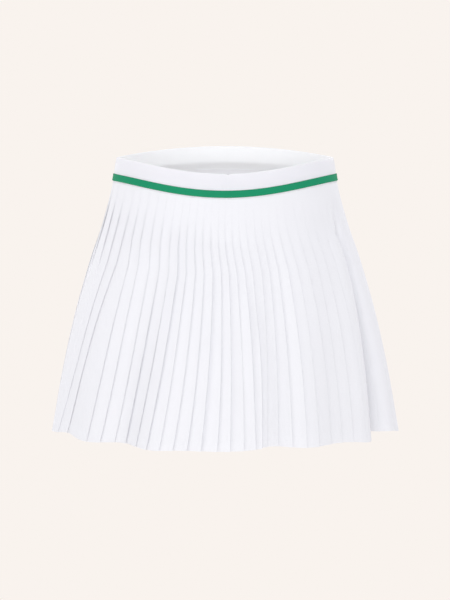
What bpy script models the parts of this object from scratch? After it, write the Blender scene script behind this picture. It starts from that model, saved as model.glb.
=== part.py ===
"""A short knife-pleated tennis skirt, worn form, with a striped waistband.

Run with: blender --background --python part.py

Frame: metres, +Z up, the wearer faces -Y. The origin is the middle of the waist,
level with the middle of the waistband at the sides, where the wearer holds the skirt.
A bearing is an angle round the body: 0 is the centre front, +90 the +X side seam,
180 the centre back. A drop is a distance down from the waistband's top edge.
"""

from collections import namedtuple

import bmesh
import bpy
import numpy as np

# ---- Driving dimensions, in metres -------------------------------------------------
BAND_HEIGHT = 0.0305  # waistband, top edge to the seam with the pleats
BAND_WALL = 0.0020  # two layers of knit with elastic between them
BAND_EDGE_ROUND = 0.0007  # the soft fold along the waistband's top edge
STRIPE_TOP = 0.0200  # drop of the stripe's upper edge
STRIPE_HEIGHT = 0.0085
STRIPE_WALL = 0.0010
CLOTH_WALL = 0.0010  # pleated cloth
SEAM_GAP = 0.0003  # between two pieces where they are sewn together
WAIST_GAP = 0.0004  # between waistband and pleats, before the waistline's slope narrows it
PANEL_GAP_TOP = 0.0004  # between the pleated panels, before the body's curve narrows it
PANEL_GAP_HEM = 0.0007

SKIRT_DROP = 0.3430  # waistband top edge to hem, down the side
FRONT_DIP = 0.0175  # the waistline is this much lower at the centre front
BACK_RISE = 0.0115  # and this much higher at the centre back

PLEATS_PER_PANEL = 32  # knife pleats in the front panel, and as many in the back
PLEAT_RISE_TOP = 0.0030  # from a pleat's inner fold out to its free edge
PLEAT_RISE_HEM = 0.0048
UNDERLAP_TOP = 0.0030  # how far the cloth turns back under a free edge
UNDERLAP_HEM = 0.0062
PITCH_SWAY = 0.10  # how much wider or narrower a pleat may lie than its neighbours
SWAY_WAVES = (2.4, 1.1)  # radians from pleat to pleat of the two waves that sway them
WAIST_CROWDING = 0.25  # how much narrower pleats lie at the centre front and back, at the waist
HEM_CROWDING = -0.10  # and at the hem, where they lie wider
PLEAT_LEAN = -5.0  # degrees by which the hem hangs turned against the waist

# The worn form at the widest round of cloth, from the waist down to the hem. A taper
# of 1 is an ellipse, and a greater one flattens the sides towards the two side seams.
Section = namedtuple("Section", "drop half_width front_depth back_depth taper")
SECTIONS = (
    Section(drop=0.000, half_width=0.1335, front_depth=0.087, back_depth=0.092, taper=1.05),
    Section(drop=0.035, half_width=0.1395, front_depth=0.092, back_depth=0.098, taper=1.05),
    Section(drop=0.080, half_width=0.1510, front_depth=0.103, back_depth=0.114, taper=1.08),
    Section(drop=0.130, half_width=0.1670, front_depth=0.116, back_depth=0.131, taper=1.14),
    Section(drop=0.190, half_width=0.1845, front_depth=0.130, back_depth=0.146, taper=1.24),
    Section(drop=0.260, half_width=0.2010, front_depth=0.143, back_depth=0.157, taper=1.40),
    Section(drop=0.345, half_width=0.2170, front_depth=0.154, back_depth=0.166, taper=1.60),
)

# The largest hanging folds. A bearing is in degrees, spread is the fold's half width in
# degrees, depth is how far the hem moves out (or in, if negative), start is the share
# of the panel's height where the fold begins, and lift is how far it raises the hem.
Fold = namedtuple("Fold", "top_bearing hem_bearing spread depth start lift")
FOLDS = (
    Fold(top_bearing=-70, hem_bearing=-66, spread=8, depth=-0.004, start=0.05, lift=0.003),
    Fold(top_bearing=-51, hem_bearing=-50, spread=8, depth=0.004, start=0.05, lift=-0.001),
    Fold(top_bearing=-28, hem_bearing=-36, spread=8, depth=-0.009, start=0.15, lift=0.002),
    Fold(top_bearing=-14, hem_bearing=-24, spread=7, depth=0.004, start=0.25, lift=-0.002),
    Fold(top_bearing=4, hem_bearing=-1, spread=9, depth=0.003, start=0.25, lift=0.000),
    Fold(top_bearing=20, hem_bearing=16, spread=7, depth=-0.009, start=0.05, lift=0.003),
    Fold(top_bearing=32, hem_bearing=28, spread=7, depth=0.003, start=0.15, lift=0.000),
    Fold(top_bearing=46, hem_bearing=39, spread=7, depth=-0.003, start=0.20, lift=0.001),
    Fold(top_bearing=60, hem_bearing=47, spread=7, depth=0.002, start=0.10, lift=0.000),
    Fold(top_bearing=74, hem_bearing=56, spread=8, depth=-0.013, start=0.00, lift=0.003),
    Fold(top_bearing=86, hem_bearing=70, spread=8, depth=0.003, start=0.10, lift=0.004),
    Fold(top_bearing=112, hem_bearing=107, spread=9, depth=-0.009, start=0.10, lift=0.002),
    Fold(top_bearing=129, hem_bearing=124, spread=8, depth=0.006, start=0.15, lift=0.000),
    Fold(top_bearing=148, hem_bearing=143, spread=8, depth=-0.010, start=0.20, lift=0.002),
    Fold(top_bearing=166, hem_bearing=161, spread=8, depth=0.004, start=0.20, lift=-0.001),
    Fold(top_bearing=186, hem_bearing=181, spread=8, depth=-0.009, start=0.15, lift=0.001),
    Fold(top_bearing=204, hem_bearing=199, spread=8, depth=0.005, start=0.20, lift=0.000),
    Fold(top_bearing=222, hem_bearing=217, spread=8, depth=-0.011, start=0.10, lift=0.002),
    Fold(top_bearing=239, hem_bearing=234, spread=8, depth=0.005, start=0.15, lift=0.000),
    Fold(top_bearing=256, hem_bearing=251, spread=8, depth=-0.007, start=0.05, lift=0.001),
)

FOLD_BULGE = 0.6  # how much faster a fold grows near its start than at the hem

# Where worn pleats have spread or closed up. A place and a reach are shares of the
# panel's width, wider is how much each pleat there gains (or loses, if negative) at the
# hem, and start is the share of the panel's height where the change begins.
Spread = namedtuple("Spread", "panel place reach wider start")
SPREADS = (
    Spread(panel=0, place=0.08, reach=0.06, wider=1.10, start=0.20),
    Spread(panel=0, place=0.35, reach=0.12, wider=0.12, start=0.20),
    Spread(panel=0, place=0.60, reach=0.06, wider=-0.60, start=0.20),
    Spread(panel=0, place=0.87, reach=0.05, wider=0.80, start=0.20),
    Spread(panel=1, place=0.30, reach=0.08, wider=0.50, start=0.20),
    Spread(panel=1, place=0.66, reach=0.06, wider=-0.40, start=0.20),
)

# ---- How finely the solids are made ------------------------------------------------
PLEAT_RINGS = 12  # levels from the waist seam to the hem
BAND_STEPS = 44  # lengths of wall round each half of the waistband
ROUND_STEPS = 1440  # points from which a round of cloth is measured

STRIPE_DROPS = (STRIPE_TOP, STRIPE_TOP + STRIPE_HEIGHT / 2, STRIPE_TOP + STRIPE_HEIGHT)
WAIST_SEAM_DROP = BAND_HEIGHT + WAIST_GAP
BAND_TOP_Z = BAND_HEIGHT / 2
HEM_Z = BAND_TOP_Z - SKIRT_DROP

# ---- Finishes ----------------------------------------------------------------------
Finish = namedtuple("Finish", "color roughness metallic")
WHITE_CLOTH = Finish(color=(0.90, 0.905, 0.93, 1.0), roughness=0.75, metallic=0.0)
WHITE_KNIT = Finish(color=(0.91, 0.915, 0.94, 1.0), roughness=0.80, metallic=0.0)
GREEN_TAPE = Finish(color=(0.009, 0.300, 0.140, 1.0), roughness=0.70, metallic=0.0)


def clear_scene():
    """Removes whatever the file holds, so that only the skirt is left."""
    for old in list(bpy.data.objects):
        bpy.data.objects.remove(old)


def material(name, finish):
    """A plain Principled material from a Finish row."""
    made = bpy.data.materials.new(name)
    made.use_nodes = True
    shader = made.node_tree.nodes["Principled BSDF"]
    shader.inputs["Base Color"].default_value = finish.color
    shader.inputs["Roughness"].default_value = finish.roughness
    shader.inputs["Metallic"].default_value = finish.metallic
    return made


def form(column, drop):
    """A column of SECTIONS at a drop: a smooth cubic through the table's rows."""
    drops = np.array([row.drop for row in SECTIONS])
    values = np.array([getattr(row, column) for row in SECTIONS])
    slopes = np.gradient(values, drops)
    row = int(np.clip(np.searchsorted(drops, drop, side="right") - 1, 0, len(drops) - 2))
    span = drops[row + 1] - drops[row]
    u = (drop - drops[row]) / span
    return (
        (2 * u**3 - 3 * u**2 + 1) * values[row]
        + (u**3 - 2 * u**2 + u) * span * slopes[row]
        + (3 * u**2 - 2 * u**3) * values[row + 1]
        + (u**3 - u**2) * span * slopes[row + 1]
    )


def fold_bumps(bearing, share):
    """(fold row, its height from 0 to 1) at these bearings, at this share of the height."""
    for fold in FOLDS:
        grown = np.clip((share - fold.start) / (1 - fold.start), 0, 1)
        middle = fold.top_bearing + (fold.hem_bearing - fold.top_bearing) * share
        away = (bearing - middle + 180) % 360 - 180
        bell = np.exp(-((away / fold.spread) ** 2))
        yield fold, bell * grown * (1 + FOLD_BULGE * (1 - grown))


def waistline(bearing):
    """Height of the waistband's top edge: it dips at the front and rises at the back."""
    ahead = np.cos(np.radians(bearing))
    front, back = np.clip(ahead, 0, 1), np.clip(-ahead, 0, 1)
    return BAND_TOP_Z - FRONT_DIP * front**3 + BACK_RISE * back**2


class Round:
    """One closed round of cloth at a level, measured by its arc length.

    A point on it is given by how far round it lies and how far out from the round."""

    def __init__(self, drop, share=0.0):
        turn = np.linspace(-180, 180, ROUND_STEPS + 1)
        ahead, aside = np.cos(np.radians(turn)), np.sin(np.radians(turn))
        middle = (form("front_depth", drop) + form("back_depth", drop)) / 2
        fore = (form("front_depth", drop) - form("back_depth", drop)) / 2
        x = form("half_width", drop) * aside
        y = -(middle + fore * ahead) * np.sign(ahead) * np.abs(ahead) ** form("taper", drop)
        hung = sum(fold.depth * bump for fold, bump in fold_bumps(turn, share))
        out_x, out_y = self.outward(x, y)
        self.x, self.y = x + hung * out_x, y + hung * out_y
        self.out_x, self.out_y = self.outward(self.x, self.y)
        steps = np.hypot(np.diff(self.x), np.diff(self.y))
        self.around = np.concatenate([[0.0], np.cumsum(steps)])
        self.turn = turn
        self.length = self.around[-1]

    @staticmethod
    def outward(x, y):
        """Unit normals of a closed line, pointing away from the body."""
        along_x = np.roll(x[:-1], -1) - np.roll(x[:-1], 1)
        along_y = np.roll(y[:-1], -1) - np.roll(y[:-1], 1)
        size = np.hypot(along_x, along_y)
        out = np.stack([along_y / size, -along_x / size])
        return np.concatenate([out, out[:, :1]], axis=1)

    def span(self, start_bearing, end_bearing):
        """(start, width) of the stretch of cloth between two bearings, in arc length."""
        start, end = np.interp([start_bearing, end_bearing], self.turn, self.around)
        return start, (end - start) % self.length

    def place(self, distance, out):
        """(x, y, bearing) of points this far round and this far out."""
        wrapped = distance % self.length
        x, y, out_x, out_y, turn = (
            np.interp(wrapped, self.around, values)
            for values in (self.x, self.y, self.out_x, self.out_y, self.turn)
        )
        return x + out * out_x, y + out * out_y, turn


def both_sides(distance, out, wall):
    """The two faces of a wall that follows a folded line in (distance round, distance out).

    Returns (outer points, inner points), in pairs that face each other. A fold gets
    two points on its convex side, and one point, twice, on its concave side."""
    line = np.stack([distance, out], axis=1)
    legs = np.diff(line, axis=0)
    legs = legs / np.linalg.norm(legs, axis=1)[:, None]
    normals = np.stack([-legs[:, 1], legs[:, 0]], axis=1) * wall / 2
    outer, inner = [line[0] + normals[0]], [line[0] - normals[0]]
    for point, before, after in zip(line[1:-1], normals[:-1], normals[1:]):
        joined = before + after
        mitre = joined * (before @ before) / (before @ before + before @ after)
        convex_outside = before[0] * after[1] - before[1] * after[0] < 0
        if convex_outside:
            outer += [point + before, point + after]
            inner += [point - mitre, point - mitre]
        else:
            outer += [point + mitre, point + mitre]
            inner += [point - before, point - after]
    outer.append(line[-1] + normals[-1])
    inner.append(line[-1] - normals[-1])
    return np.array(outer), np.array(inner)


def wall_object(name, rings, finish_material):
    """A closed solid skinned over rings, each a pair (outer points, inner points).

    Points that coincide within a ring become one, so a fold's quads close to triangles."""
    shape = bmesh.new()

    def vertices(points):
        made = []
        for point in points:
            repeated = made and np.allclose(point, made[-1].co, atol=1e-7)
            made.append(made[-1] if repeated else shape.verts.new(point))
        return made

    def face(*corners):
        loop = list(dict.fromkeys(corners))
        if len(loop) > 2:
            shape.faces.new(loop)

    levels = [(vertices(outer), vertices(inner)) for outer, inner in rings]
    last = len(levels[0][0]) - 1
    for (out_up, in_up), (out_low, in_low) in zip(levels, levels[1:]):
        for i in range(last):
            face(out_up[i], out_low[i], out_low[i + 1], out_up[i + 1])
            face(in_up[i], in_up[i + 1], in_low[i + 1], in_low[i])
        face(in_low[0], out_low[0], out_up[0], in_up[0])
        face(out_low[last], in_low[last], in_up[last], out_up[last])
    (out_top, in_top), (out_hem, in_hem) = levels[0], levels[-1]
    for i in range(last):
        face(out_top[i], out_top[i + 1], in_top[i + 1], in_top[i])
        face(out_hem[i], in_hem[i], in_hem[i + 1], out_hem[i + 1])
    mesh = bpy.data.meshes.new(name)
    shape.to_mesh(mesh)
    shape.free()
    mesh.materials.append(finish_material)
    made = bpy.data.objects.new(name, mesh)
    bpy.context.scene.collection.objects.link(made)
    return made


def band_strip(name, bearings, levels, finish_material):
    """Half of a smooth strip round the waist. levels are (drop, inner out, outer out)."""
    rings = []
    for drop, inner_out, outer_out in levels:
        waist = Round(drop)
        start, width = waist.span(*bearings)
        sewn = np.linspace(SEAM_GAP / 2, width - SEAM_GAP / 2, BAND_STEPS + 1)
        sides = []
        for out in (outer_out, inner_out):
            x, y, turn = waist.place(start + sewn, out)
            sides.append(np.stack([x, y, waistline(turn) - drop], axis=1))
        rings.append(sides)
    return wall_object(name, rings, finish_material)


def waistband(name, bearings, finish_material):
    """The wide knitted band, its top edge rounded where the knit turns over."""
    half, edge = BAND_WALL / 2, BAND_EDGE_ROUND
    levels = [(0.0, edge - half, half - edge)]
    levels += [(drop, -half, half) for drop in (edge, *STRIPE_DROPS, BAND_HEIGHT)]
    return band_strip(name, bearings, levels, finish_material)


def stripe(name, bearings, finish_material):
    """The contrast tape, sewn on near the band's lower edge: the band's points, moved out."""
    inner = BAND_WALL / 2 + SEAM_GAP
    levels = [(drop, inner, inner + STRIPE_WALL) for drop in STRIPE_DROPS]
    return band_strip(name, bearings, levels, finish_material)


def pleat_places(panel, share):
    """Where each free edge lies at a level, as shares of the panel's width.

    Widths sway by two sine waves, crowd at the panel's middle by a cosine whose size
    changes towards the hem, and spread or close up by SPREADS."""
    steps = np.arange(PLEATS_PER_PANEL)
    middle = (steps + 0.5) / PLEATS_PER_PANEL
    sway = np.mean([np.sin(wave * steps + k * panel) for k, wave in enumerate(SWAY_WAVES, 1)], axis=0)
    widths = 1 + PITCH_SWAY * sway
    crowding = WAIST_CROWDING + (HEM_CROWDING - WAIST_CROWDING) * share**2
    widths *= 1 + crowding * np.cos(2 * np.pi * middle)
    for row in SPREADS:
        if row.panel == panel:
            grown = max(0.0, (share - row.start) / (1 - row.start))
            widths *= 1 + row.wider * grown * np.exp(-(((middle - row.place) / row.reach) ** 2))
    return np.concatenate([[0.0], np.cumsum(widths)]) / widths.sum()


def pleat_line(start, width, share, panel):
    """The folded line of a panel at a level, in (distance round, distance out).

    Each pleat runs out from an inner fold to a free edge, which laps over the next
    pleat. The line starts just past the inner fold where the neighbour panel ends,
    hidden under that panel's last free edge, and ends in its own last inner fold."""
    rise = PLEAT_RISE_TOP + (PLEAT_RISE_HEM - PLEAT_RISE_TOP) * share
    underlap = UNDERLAP_TOP + (UNDERLAP_HEM - UNDERLAP_TOP) * share
    free_edges = start + width * pleat_places(panel, share)
    distance = np.stack([free_edges, free_edges - underlap], axis=1).ravel()[1:]
    out = np.tile([rise, 0.0], PLEATS_PER_PANEL + 1)[1:]
    opening = distance[1] - distance[0]
    between = np.arctan2(rise, underlap) - np.arctan2(rise, opening)
    gap = PANEL_GAP_TOP + (PANEL_GAP_HEM - PANEL_GAP_TOP) * share
    clear = CLOTH_WALL / 2 / np.tan(between / 2) + gap / np.sin(between)
    moved = clear / np.hypot(rise, opening)
    distance[0] += moved * opening
    out[0] += moved * rise
    return distance, out - rise / 2


def pleated_panel(name, bearings, panel, finish_material):
    """A front or back of knife-pleated cloth, hanging in folds from waist seam to hem."""
    rings = []
    for share in np.linspace(0, 1, PLEAT_RINGS):
        drop = WAIST_SEAM_DROP + (SKIRT_DROP - WAIST_SEAM_DROP) * share
        level = Round(drop, share)
        lean = PLEAT_LEAN * share
        sewn = level.span(bearings[0] + lean, bearings[1] + lean)
        line = pleat_line(*sewn, share, panel)
        sides = []
        for side in both_sides(*line, CLOTH_WALL):
            x, y, turn = level.place(side[:, 0], side[:, 1])
            lift = sum(fold.lift * bump for fold, bump in fold_bumps(turn, 1.0))
            top = waistline(turn) - WAIST_SEAM_DROP
            z = top + (HEM_Z + lift - top) * share
            sides.append(np.stack([x, y, z], axis=1))
        rings.append(sides)
    return wall_object(name, rings, finish_material)


def main():
    clear_scene()
    cloth = material("white_pleated_cloth", WHITE_CLOTH)
    knit = material("white_waistband_knit", WHITE_KNIT)
    tape = material("green_tape", GREEN_TAPE)
    halves = {"front": (-90.0, 90.0), "back": (90.0, -90.0)}
    for panel, (side, bearings) in enumerate(halves.items()):
        waistband("waistband_" + side, bearings, knit)
        stripe("stripe_" + side, bearings, tape)
        pleated_panel("pleats_" + side, bearings, panel, cloth)


main()
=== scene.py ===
# %% [markdown]
# # A knife-pleated tennis skirt
#
# A short white tennis skirt stands in its worn form: a firm knit waistband with a green
# tape, and two widths of light cloth pressed into knife pleats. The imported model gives
# solid stand-ins for all six pieces. This lesson makes each of them again as thin cloth,
# with rounded folds, a turned hem and real stitches, in the place where its solid is.

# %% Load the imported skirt
from collections import namedtuple
from math import cos, pi, radians, sin

import bpy
import numpy as np
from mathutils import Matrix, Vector


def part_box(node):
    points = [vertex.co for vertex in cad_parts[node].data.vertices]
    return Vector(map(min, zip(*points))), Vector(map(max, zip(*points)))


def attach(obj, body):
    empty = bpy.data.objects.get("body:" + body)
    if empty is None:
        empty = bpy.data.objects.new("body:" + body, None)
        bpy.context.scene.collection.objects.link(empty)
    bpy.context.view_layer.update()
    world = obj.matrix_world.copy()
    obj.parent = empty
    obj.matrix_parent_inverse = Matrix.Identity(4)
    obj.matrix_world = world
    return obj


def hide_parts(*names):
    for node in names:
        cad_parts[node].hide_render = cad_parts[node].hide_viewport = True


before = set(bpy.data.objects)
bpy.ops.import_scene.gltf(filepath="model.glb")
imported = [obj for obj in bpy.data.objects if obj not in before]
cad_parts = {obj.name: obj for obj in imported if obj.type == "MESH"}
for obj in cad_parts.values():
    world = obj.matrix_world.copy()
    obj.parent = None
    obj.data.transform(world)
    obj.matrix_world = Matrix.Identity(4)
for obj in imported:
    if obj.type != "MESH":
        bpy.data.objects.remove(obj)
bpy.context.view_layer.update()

for node_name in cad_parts:
    low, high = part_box(node_name)
    print(node_name, [round((b - a) * 1000) for a, b in zip(low, high)], "mm")

# %% [markdown]
# ## The form under the cloth
#
# A pleated skirt has no shape of its own. It takes the waist and hips of its wearer, and
# below them each pleat hangs straight. One way to get that is to sculpt a torso and
# shrink-wrap the cloth onto it. Here the form is a short table of rounds instead, one row
# for each level, because every later piece can then be measured along a round in
# millimetres of cloth. A bearing is an angle round the body: 0 is the centre front, 90 is
# the side seam on +X and 180 the centre back. A drop is a distance down from the
# waistband's top edge.
#
# A second table holds the soft folds that the cloth hangs in. A fold whose depth is above
# zero stands out, one below zero lies back, and a lift raises the hem there. The deepest,
# towards the side on +X, is the crease where the cloth falls in beside the leg.

# %% Sizes of the worn form, in metres
BAND_HEIGHT = 0.0305
STRIPE_TOP = 0.0200
STRIPE_HEIGHT = 0.0085
SKIRT_DROP = 0.3430
FRONT_DIP = 0.0175
BACK_RISE = 0.0115
BAND_TOP_Z = BAND_HEIGHT / 2
HEM_Z = BAND_TOP_Z - SKIRT_DROP

Section = namedtuple("Section", "drop half_width front_depth back_depth taper")
SECTIONS = (
    Section(drop=0.000, half_width=0.1335, front_depth=0.087, back_depth=0.092, taper=1.05),
    Section(drop=0.035, half_width=0.1395, front_depth=0.092, back_depth=0.098, taper=1.05),
    Section(drop=0.080, half_width=0.1510, front_depth=0.103, back_depth=0.114, taper=1.08),
    Section(drop=0.130, half_width=0.1670, front_depth=0.116, back_depth=0.131, taper=1.14),
    Section(drop=0.190, half_width=0.1845, front_depth=0.130, back_depth=0.146, taper=1.24),
    Section(drop=0.260, half_width=0.2010, front_depth=0.143, back_depth=0.157, taper=1.40),
    Section(drop=0.345, half_width=0.2170, front_depth=0.154, back_depth=0.166, taper=1.60),
)
Fold = namedtuple("Fold", "top_bearing hem_bearing spread depth start lift")
FOLDS = (
    Fold(top_bearing=-70, hem_bearing=-66, spread=8, depth=-0.004, start=0.05, lift=0.003),
    Fold(top_bearing=-51, hem_bearing=-50, spread=8, depth=0.004, start=0.05, lift=-0.001),
    Fold(top_bearing=-28, hem_bearing=-36, spread=8, depth=-0.009, start=0.15, lift=0.002),
    Fold(top_bearing=-14, hem_bearing=-24, spread=7, depth=0.004, start=0.25, lift=-0.002),
    Fold(top_bearing=4, hem_bearing=-1, spread=9, depth=0.003, start=0.25, lift=0.000),
    Fold(top_bearing=20, hem_bearing=16, spread=7, depth=-0.009, start=0.05, lift=0.003),
    Fold(top_bearing=32, hem_bearing=28, spread=7, depth=0.003, start=0.15, lift=0.000),
    Fold(top_bearing=46, hem_bearing=39, spread=7, depth=-0.003, start=0.20, lift=0.001),
    Fold(top_bearing=59, hem_bearing=54, spread=6, depth=0.006, start=0.10, lift=-0.003),
    Fold(top_bearing=69, hem_bearing=61, spread=5, depth=-0.036, start=0.04, lift=0.003),
    Fold(top_bearing=86, hem_bearing=70, spread=8, depth=0.003, start=0.10, lift=0.004),
    Fold(top_bearing=112, hem_bearing=107, spread=9, depth=-0.009, start=0.10, lift=0.002),
    Fold(top_bearing=129, hem_bearing=124, spread=8, depth=0.006, start=0.15, lift=0.000),
    Fold(top_bearing=148, hem_bearing=143, spread=8, depth=-0.010, start=0.20, lift=0.002),
    Fold(top_bearing=166, hem_bearing=161, spread=8, depth=0.004, start=0.20, lift=-0.001),
    Fold(top_bearing=186, hem_bearing=181, spread=8, depth=-0.009, start=0.15, lift=0.001),
    Fold(top_bearing=204, hem_bearing=199, spread=8, depth=0.005, start=0.20, lift=0.000),
    Fold(top_bearing=222, hem_bearing=217, spread=8, depth=-0.011, start=0.10, lift=0.002),
    Fold(top_bearing=239, hem_bearing=234, spread=8, depth=0.005, start=0.15, lift=0.000),
    Fold(top_bearing=256, hem_bearing=251, spread=8, depth=-0.007, start=0.05, lift=0.001),
)
print(len(SECTIONS), "sections,", len(FOLDS), "hanging folds")


# %% A smooth curve through a column of the table
def form(column, drop):
    """A column of SECTIONS at each drop.

    Between two rows it is the cubic that has the rows' values at its ends and the
    table's own gradient as its slopes there."""
    drops = np.array([row.drop for row in SECTIONS])
    values = np.array([getattr(row, column) for row in SECTIONS])
    slopes = np.gradient(values, drops)
    row = np.clip(np.searchsorted(drops, drop, side="right") - 1, 0, len(drops) - 2)
    span = drops[row + 1] - drops[row]
    u = (drop - drops[row]) / span
    return (
        (2 * u**3 - 3 * u**2 + 1) * values[row]
        + (u**3 - 2 * u**2 + u) * span * slopes[row]
        + (3 * u**2 - 2 * u**3) * values[row + 1]
        + (u**3 - u**2) * span * slopes[row + 1]
    )


hem_width = 2 * form("half_width", np.array([SKIRT_DROP]))[0]
print("hem", round(hem_width * 1000), "mm wide before the folds")


# %% The waistline and the hanging folds
FOLD_BULGE = 0.6


def waistline(bearing):
    """Height of the band's top edge: down by the cube of the cosine at the front, up by
    the square of it at the back."""
    ahead = np.cos(np.radians(bearing))
    front, back = np.clip(ahead, 0, 1), np.clip(-ahead, 0, 1)
    return BAND_TOP_Z - FRONT_DIP * front**3 + BACK_RISE * back**2


def fold_bumps(bearing, share):
    """Each fold with its height, 0 to 1: a bell across the bearing, whose middle moves
    from the fold's top to its hem bearing. It grows from 0 where the fold starts, faster
    there than at the hem by FOLD_BULGE."""
    for fold in FOLDS:
        grown = np.clip((share - fold.start) / (1 - fold.start), 0, 1)
        middle = fold.top_bearing + (fold.hem_bearing - fold.top_bearing) * share
        away = (bearing - middle + 180) % 360 - 180
        bell = np.exp(-((away / fold.spread) ** 2))
        yield fold, bell * grown * (1 + FOLD_BULGE - FOLD_BULGE * grown)


print("waistline from", round(float(waistline(0)), 4), "to", round(float(waistline(180)), 4))

# %% [markdown]
# ## Measuring along the cloth
#
# Pleats are spaced along the cloth, not along an angle, so each level of the skirt is
# drawn as a closed round of many points and then measured. A point on the cloth is then
# named by its distance round and its distance out, and one function turns that into
# space. All levels are worked out together, one row of an array for each.

# %% Rounds of cloth
ROUND_STEPS = 1440
Rounds = namedtuple("Rounds", "x y out_x out_y around bearing")


def outward(x, y):
    """Unit normals of closed lines: the central difference along the line, turned by a
    right angle away from the body."""
    along_x = np.roll(x[:, :-1], -1, axis=1) - np.roll(x[:, :-1], 1, axis=1)
    along_y = np.roll(y[:, :-1], -1, axis=1) - np.roll(y[:, :-1], 1, axis=1)
    size = np.hypot(along_x, along_y)
    out = np.stack([along_y / size, -along_x / size])
    return np.concatenate([out, out[:, :, :1]], axis=2)


def rounds(drop, share):
    """Closed rounds, one for each drop: x is the half width times the sine of the bearing,
    y the depth times the cosine raised to the taper, both moved out by the folds."""
    bearing = np.linspace(-180, 180, ROUND_STEPS + 1)[None]
    drop, share = drop[:, None], share[:, None]
    ahead, aside = np.cos(np.radians(bearing)), np.sin(np.radians(bearing))
    middle = (form("front_depth", drop) + form("back_depth", drop)) / 2
    fore = (form("front_depth", drop) - form("back_depth", drop)) / 2
    x = form("half_width", drop) * aside
    y = -(middle + fore * ahead) * np.sign(ahead) * np.abs(ahead) ** form("taper", drop)
    hung = sum(fold.depth * bump for fold, bump in fold_bumps(bearing, share))
    out_x, out_y = outward(x, y)
    x, y = x + hung * out_x, y + hung * out_y
    steps = np.hypot(np.diff(x, axis=1), np.diff(y, axis=1))
    around = np.concatenate([np.zeros_like(drop), np.cumsum(steps, axis=1)], axis=1)
    return Rounds(x, y, *outward(x, y), around, bearing[0])


def span(level, start_bearing, end_bearing):
    """Start and width of the cloth between two bearings, in metres along each round.
    The bearings may differ from round to round."""
    start = np.array([np.interp(b, level.bearing, d) for b, d in zip(start_bearing, level.around)])
    end = np.array([np.interp(b, level.bearing, d) for b, d in zip(end_bearing, level.around)])
    return start, (end - start) % level.around[:, -1]


def place(level, distance, out):
    """x, y and bearing of points at these distances round and out, one row a round."""
    wrapped = distance % level.around[:, -1:]

    def read(rows):
        return np.array([np.interp(d, a, r) for d, a, r in zip(wrapped, level.around, rows)])

    x = read(level.x) + out * read(level.out_x)
    y = read(level.y) + out * read(level.out_y)
    bearing = np.array([np.interp(d, a, level.bearing) for d, a in zip(wrapped, level.around)])
    return x, y, bearing


trial = rounds(np.array([0.0, SKIRT_DROP]), np.array([0.0, 1.0]))
print("waist and hem measure", trial.around[:, -1].round(3), "m round")

# %% [markdown]
# ## From grids of points to a closed shell
#
# Every cloth piece here is a wall: an outer and an inner grid of points, joined along
# their four edges. Blender's Solidify could give one sheet its thickness, but at a knife
# edge it makes spikes. So both faces are worked out, and where the wall turns a sharp
# fold the grid on its hollow side repeats a point. Repeated columns are written once,
# and their faces close to triangles or vanish.


# %% The shell maker
def shell(name, outer, inner, uv_outer, uv_inner, outer_new=None, inner_new=None):
    """A closed mesh from two grids of points, rows downwards and columns anticlockwise.

    outer_new and inner_new are False for a column that repeats the one before it."""
    rows, columns = outer.shape[:2]
    outer_new = np.ones(columns, bool) if outer_new is None else outer_new
    inner_new = np.ones(columns, bool) if inner_new is None else inner_new
    out_column, in_column = np.cumsum(outer_new) - 1, np.cumsum(inner_new) - 1
    out_count, in_count = outer_new.sum(), inner_new.sum()
    row = np.arange(rows)[:, None]
    out_id = row * out_count + out_column
    in_id = rows * out_count + row * in_count + in_column

    def quads(a, b, c, d):
        return np.stack([a, b, c, d], axis=-1).reshape(-1, 4)

    o, i = out_id[:, :-1][:, outer_new[1:]], out_id[:, 1:][:, outer_new[1:]]
    faces = [quads(o[:-1], o[1:], i[1:], i[:-1])]
    o, i = in_id[:, :-1][:, inner_new[1:]], in_id[:, 1:][:, inner_new[1:]]
    faces.append(quads(o[:-1], i[:-1], i[1:], o[1:]))
    faces.append(quads(in_id[1:, 0], out_id[1:, 0], out_id[:-1, 0], in_id[:-1, 0]))
    faces.append(quads(out_id[1:, -1], in_id[1:, -1], in_id[:-1, -1], out_id[:-1, -1]))
    rims = (
        quads(out_id[0, :-1], out_id[0, 1:], in_id[0, 1:], in_id[0, :-1]),
        quads(out_id[-1, 1:], out_id[-1, :-1], in_id[-1, :-1], in_id[-1, 1:]),
    )
    triangles = []
    for rim in rims:
        outer_closed, inner_closed = rim[:, 0] == rim[:, 1], rim[:, 2] == rim[:, 3]
        faces.append(rim[~outer_closed & ~inner_closed])
        triangles.append(rim[outer_closed][:, 1:])
        triangles.append(rim[inner_closed][:, :3])
    points = np.concatenate([outer[:, outer_new].reshape(-1, 3), inner[:, inner_new].reshape(-1, 3)])
    uv = np.concatenate([uv_outer[:, outer_new].reshape(-1, 2), uv_inner[:, inner_new].reshape(-1, 2)])
    corners = np.concatenate(faces).tolist() + np.concatenate(triangles).tolist()
    return mesh_object(name, points, corners, uv)


def mesh_object(name, points, faces, uv=None, sharp_angle=50):
    """An object of these points and faces, shaded smooth but for edges past the angle."""
    mesh = bpy.data.meshes.new(name)
    mesh.from_pydata(points.tolist(), [], faces)
    if uv is not None:
        corner = np.empty(len(mesh.loops), np.int32)
        mesh.loops.foreach_get("vertex_index", corner)
        mesh.uv_layers.new(name="cloth").data.foreach_set("uv", uv[corner].ravel().astype(np.float32))
    mesh.shade_smooth()
    mesh.set_sharp_from_angle(angle=radians(sharp_angle))
    made = bpy.data.objects.new(name, mesh)
    bpy.context.scene.collection.objects.link(made)
    print(name, len(mesh.vertices), "points,", len(mesh.polygons), "faces")
    return made


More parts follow.
